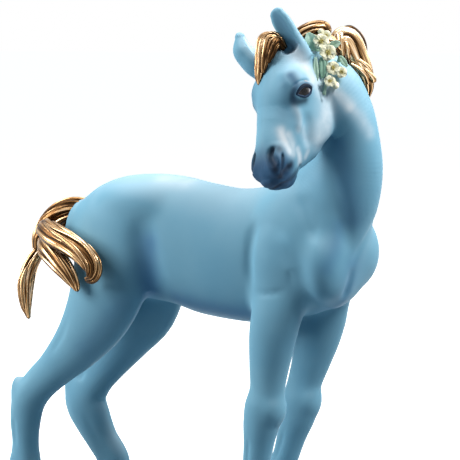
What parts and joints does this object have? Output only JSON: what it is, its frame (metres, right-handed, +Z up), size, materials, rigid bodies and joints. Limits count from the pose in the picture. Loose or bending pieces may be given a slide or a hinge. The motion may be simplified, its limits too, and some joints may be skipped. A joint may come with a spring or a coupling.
{
  "type": "porcelain foal figurine",
  "caption": "Standing foal figurine looking back over its shoulder, in matt blue porcelain with a gilded mane, forelock and tail and a spray of flowers behind one ear.",
  "frame": {"origin": "middle of the figurine's footprint, on the surface that the hooves stand on", "axes": "+X along the trunk towards the chest, +Y to the foal's left, +Z up"},
  "size_m": [0.2906, 0.1193, 0.3635],
  "materials": {
    "blue_bisque": "matt coloured bisque",
    "gold_lustre": "burnished gold lustre over glaze",
    "petal_cream": "unglazed cream paste",
    "leaf_green": "unglazed pale green paste"
  },
  "bodies": {
    "root": {"trunk": "blue_bisque", "neck": "blue_bisque", "head": "blue_bisque", "left_ear": "blue_bisque", "right_ear": "blue_bisque", "right_foreleg": "blue_bisque", "left_foreleg": "blue_bisque", "right_hind_leg": "blue_bisque", "left_hind_leg": "blue_bisque", "forelock_outer": "gold_lustre", "forelock_middle": "gold_lustre", "forelock_inner": "gold_lustre", "mane_poll_lock": "gold_lustre", "mane_under_lock": "gold_lustre", "mane_crest_lock": "gold_lustre", "mane_nape_lock": "gold_lustre", "mane_middle_lock": "gold_lustre", "mane_lower_lock": "gold_lustre", "tail_dock": "gold_lustre", "tail_forward_lock": "gold_lustre", "tail_tip_lock": "gold_lustre", "tail_hanging_lock": "gold_lustre", "flower_top": "petal_cream", "flower_middle": "petal_cream", "flower_lower": "petal_cream", "flower_outer": "petal_cream", "flower_small": "petal_cream", "flower_back": "petal_cream", "bud_outer": "petal_cream", "bud_upper": "petal_cream", "leaf_broad": "leaf_green", "leaf_oval": "leaf_green", "leaf_dark": "leaf_green", "leaf_long": "leaf_green", "leaf_tip": "leaf_green", "main_stem": "leaf_green"}
  },
  "joints": []
}
